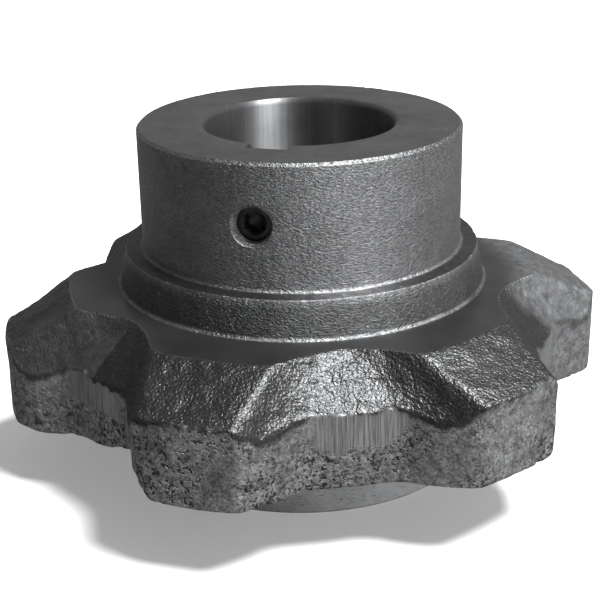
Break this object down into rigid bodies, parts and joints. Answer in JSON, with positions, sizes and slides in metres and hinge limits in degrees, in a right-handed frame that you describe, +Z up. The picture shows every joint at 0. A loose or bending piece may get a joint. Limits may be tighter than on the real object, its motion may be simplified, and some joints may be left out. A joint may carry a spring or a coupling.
{
  "type": "chain sprocket with hub",
  "caption": "Cast iron chain sprocket with broad bevelled teeth, a long keyed hub with socket set screws, and a short boss below.",
  "frame": {"origin": "centre of the lower boss face, on the bore axis; the part stands on that face", "axes": "+Z up the bore towards the long hub; -Y towards the keyway and the set screw over it; -X towards the second set screw"},
  "size_m": [0.1166, 0.122, 0.069],
  "materials": {
    "casting": "dark grey iron: rough sand-cast teeth, fine-turned hub, collar, faces and bore, light wear on the rims",
    "set_screws": "black oxide alloy steel"
  },
  "bodies": {
    "casting": {"sprocket_casting": "casting"},
    "keyway_screw": {"keyway_set_screw": "set_screws"},
    "shaft_screw": {"shaft_set_screw": "set_screws"}
  },
  "joints": [
    {"name": "keyway_screw_travel", "type": "slide", "parent": "casting", "child": "keyway_screw", "axis": [0, -1, 0], "range_m": [-0.00141, 0.00564]},
    {"name": "shaft_screw_travel", "type": "slide", "parent": "casting", "child": "shaft_screw", "axis": [-1, 0, 0], "range_m": [-0.00141, 0.00564]}
  ]
}
